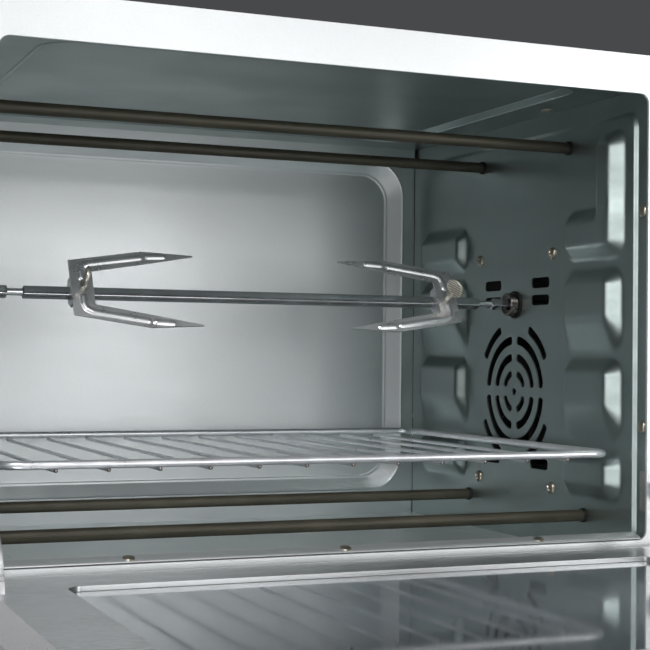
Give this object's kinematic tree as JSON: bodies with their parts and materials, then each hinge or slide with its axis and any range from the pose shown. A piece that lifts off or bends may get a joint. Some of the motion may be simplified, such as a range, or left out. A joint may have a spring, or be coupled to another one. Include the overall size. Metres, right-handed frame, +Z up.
{
  "type": "rotisserie oven",
  "caption": "Countertop oven with pressed steel chamber, motor-driven spit with sliding forks, wire rack, convection fan and drop-down glass door.",
  "frame": {"origin": "on the worktop under the middle of the casing", "axes": "+X to the right and +Y to the back, seen from the front; +Z up"},
  "size_m": [0.56, 0.708, 0.386],
  "materials": {
    "casing_paint": "satin",
    "fastener": "satin",
    "rubber": "matte",
    "frame_steel": "satin",
    "panel": "brushed",
    "chamber_steel": "satin",
    "back_steel": "satin",
    "heater_sheath": "matte",
    "collar": "satin",
    "ceramic": "matte",
    "socket_steel": "satin",
    "plated": "satin",
    "motor": "satin",
    "chrome": "polished",
    "thumbscrew": "satin",
    "door_steel": "brushed",
    "door_glass": "polished",
    "handle_steel": "brushed",
    "black_plastic": "satin",
    "bush_plastic": "matte",
    "switch_plastic": "matte",
    "lamp": "gloss"
  },
  "bodies": {
    "oven": {"outer_shell": "casing_paint", "back_cover": "casing_paint", "cover_screws": "fastener", "base_plate": "casing_paint", "feet": "rubber", "front_frame": "frame_steel", "control_panel": "panel", "chamber_right_wall": "chamber_steel", "chamber_left_wall": "chamber_steel", "chamber_back_wall": "back_steel", "chamber_ceiling": "chamber_steel", "chamber_floor": "chamber_steel", "chamber_rivets": "fastener", "wall_screws": "fastener", "heater_top_front": "heater_sheath", "heater_top_rear": "heater_sheath", "heater_bottom_front": "heater_sheath", "heater_bottom_rear": "heater_sheath", "heater_collars": "collar", "heater_terminals": "ceramic", "spit_bearing": "collar", "rotisserie_motor": "plated", "motor_bracket": "plated", "bracket_spacers": "plated", "spit_hanger": "plated", "hanger_screws": "fastener", "fan_housing": "plated", "fan_motor": "motor", "stay_guides": "bush_plastic", "hinge_brackets": "frame_steel", "hinge_pins": "socket_steel", "function_switch": "switch_plastic", "thermostat": "switch_plastic", "timer": "switch_plastic", "indicator_lamp": "lamp", "cord_bushing": "black_plastic"},
    "door": {"door_frame": "door_steel", "door_inner_panel": "door_steel", "door_glass": "door_glass", "door_handle": "handle_steel", "handle_posts": "black_plastic", "handle_screws": "fastener", "hinge_bushes": "bush_plastic", "door_stays": "door_steel"},
    "rack": {"wire_rack": "chrome"},
    "spit": {"spit_rod": "chrome", "spit_socket": "socket_steel", "drive_shaft": "socket_steel"},
    "left_fork": {"fork_left": "chrome"},
    "right_fork": {"fork_right": "chrome"},
    "left_fork_screw": {"fork_screw_left": "thumbscrew"},
    "right_fork_screw": {"fork_screw_right": "thumbscrew"},
    "fan": {"fan_wheel": "plated", "fan_shaft": "socket_steel"},
    "function_dial": {"function_knob": "black_plastic"},
    "temperature_dial": {"temperature_knob": "black_plastic"},
    "timer_dial": {"timer_knob": "black_plastic"}
  },
  "joints": [
    {"name": "door_hinge", "type": "hinge", "parent": "oven", "child": "door", "pos_m": [-0.0465, -0.202, 0.062], "axis": [-1, 0, 0], "range_deg": [0, 90]},
    {"name": "rack_slide", "type": "slide", "parent": "oven", "child": "rack", "axis": [0, 1, 0], "range_m": [-0.25, 0]},
    {"name": "spit_spin", "type": "hinge", "parent": "oven", "child": "spit", "pos_m": [-0.0465, -0.025, 0.2297], "axis": [1, 0, 0], "continuous": true},
    {"name": "left_fork_slide", "type": "slide", "parent": "spit", "child": "left_fork", "axis": [1, 0, 0], "range_m": [-0.02, 0.05]},
    {"name": "right_fork_slide", "type": "slide", "parent": "spit", "child": "right_fork", "axis": [1, 0, 0], "range_m": [-0.05, 0.015]},
    {"name": "left_screw_turn", "type": "hinge", "parent": "left_fork", "child": "left_fork_screw", "pos_m": [-0.169, -0.025, 0.2297], "axis": [0, -0.866, 0.5], "range_deg": [0, 270]},
    {"name": "right_screw_turn", "type": "hinge", "parent": "right_fork", "child": "right_fork_screw", "pos_m": [0.1005, -0.025, 0.2297], "axis": [0, -0.866, 0.5], "range_deg": [0, 270]},
    {"name": "fan_spin", "type": "hinge", "parent": "oven", "child": "fan", "pos_m": [-0.0465, -0.0248, 0.165], "axis": [1, 0, 0], "continuous": true},
    {"name": "function_turn", "type": "hinge", "parent": "oven", "child": "function_dial", "pos_m": [0.228, -0.195, 0.318], "axis": [0, 1, 0], "range_deg": [0, 240]},
    {"name": "temperature_turn", "type": "hinge", "parent": "oven", "child": "temperature_dial", "pos_m": [0.228, -0.195, 0.232], "axis": [0, 1, 0], "range_deg": [0, 270]},
    {"name": "timer_turn", "type": "hinge", "parent": "oven", "child": "timer_dial", "pos_m": [0.228, -0.195, 0.146], "axis": [0, 1, 0], "range_deg": [0, 330]}
  ]
}
